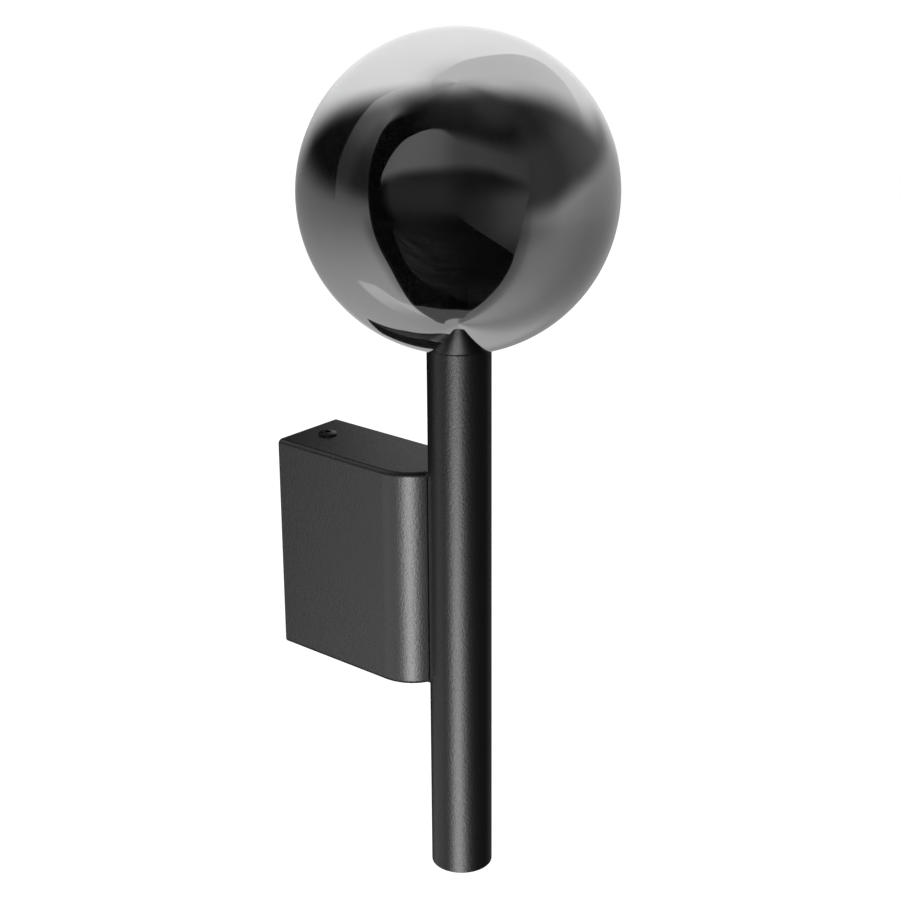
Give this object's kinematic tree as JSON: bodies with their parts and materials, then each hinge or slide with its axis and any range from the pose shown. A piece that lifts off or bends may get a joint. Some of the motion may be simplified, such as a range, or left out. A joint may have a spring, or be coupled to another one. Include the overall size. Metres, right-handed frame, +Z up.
{
  "type": "globe wall sconce",
  "caption": "Slim wall sconce: a smoked glass globe stands on a vertical tube that nests in the hollowed round nose of a narrow box fixed to the wall.",
  "frame": {"origin": "centre of the bracket's wall face, level with the middle of the wall box", "axes": "+Z up along the stem, +Y into the wall, the lamp projects along -Y, X across the wall"},
  "size_m": [0.121, 0.144, 0.344],
  "materials": {
    "charcoal_coat": "satin charcoal powder coat with a fine grain",
    "black_screw": "black oxide",
    "black_metal": "black anodised",
    "zinc_steel": "zinc plated",
    "aluminium": "turned",
    "tinned_metal": "tinned",
    "brass": "plain",
    "grey_rubber": "matt",
    "black_silicone": "matt",
    "terminal_plastic": "moulded",
    "dark_plastic": "moulded",
    "ceramic": "unglazed",
    "brown_wire": "silicone insulation",
    "blue_wire": "silicone insulation",
    "green_yellow_wire": "silicone insulation, green with a yellow stripe",
    "glass_fibre": "braided glass fibre",
    "smoked_glass": "smoked and thinly metallised, blown",
    "bulb_plastic": "moulded",
    "board_ceramic": "white board",
    "chip_phosphor": "yellow phosphor",
    "clear_glass": "clear"
  },
  "bodies": {
    "fixture": {"wall_bracket": "zinc_steel", "entry_grommet": "grey_rubber", "terminal_block": "terminal_plastic", "terminal_barrels": "brass", "terminal_clamp_screws": "zinc_steel", "terminal_fixing_screw": "zinc_steel", "bracket_earth_screw": "brass", "earth_lugs": "tinned_metal", "wall_box": "charcoal_coat", "cover_screws": "black_screw", "stem_tube": "charcoal_coat", "stem_end_plug": "charcoal_coat", "anchor_bar": "zinc_steel", "stem_screws": "zinc_steel", "saddle_washers": "aluminium", "wire_bushing": "dark_plastic", "socket_carrier": "aluminium", "lampholder": "ceramic", "lampholder_contacts": "brass", "lampholder_screws": "zinc_steel", "live_wire": "brown_wire", "neutral_wire": "blue_wire", "earth_wires": "green_yellow_wire", "wire_sleeve": "glass_fibre"},
    "seal": {"seal_ring": "black_silicone"},
    "globe": {"globe": "smoked_glass", "glass_collar": "black_metal"},
    "bulb": {"bulb_base": "bulb_plastic", "bulb_pins": "tinned_metal", "led_board": "board_ceramic", "led_chips": "chip_phosphor", "bulb_envelope": "clear_glass"}
  },
  "joints": [
    {"name": "globe_rise", "type": "slide", "parent": "fixture", "child": "seal", "axis": [0, 0, 1], "range_m": [0, 0.006]},
    {"name": "globe_unscrew", "type": "hinge", "parent": "seal", "child": "globe", "pos_m": [0, -0.0835, 0.09725], "axis": [0, 0, 1], "range_deg": [0, 1080]},
    {"name": "bulb_pull", "type": "slide", "parent": "fixture", "child": "bulb", "axis": [0, 0, 1], "range_m": [0, 0.01]}
  ],
  "couplings": [
    {"joint": "globe_rise", "follows": "globe_unscrew", "m_per_rad": 0.00031831}
  ]
}
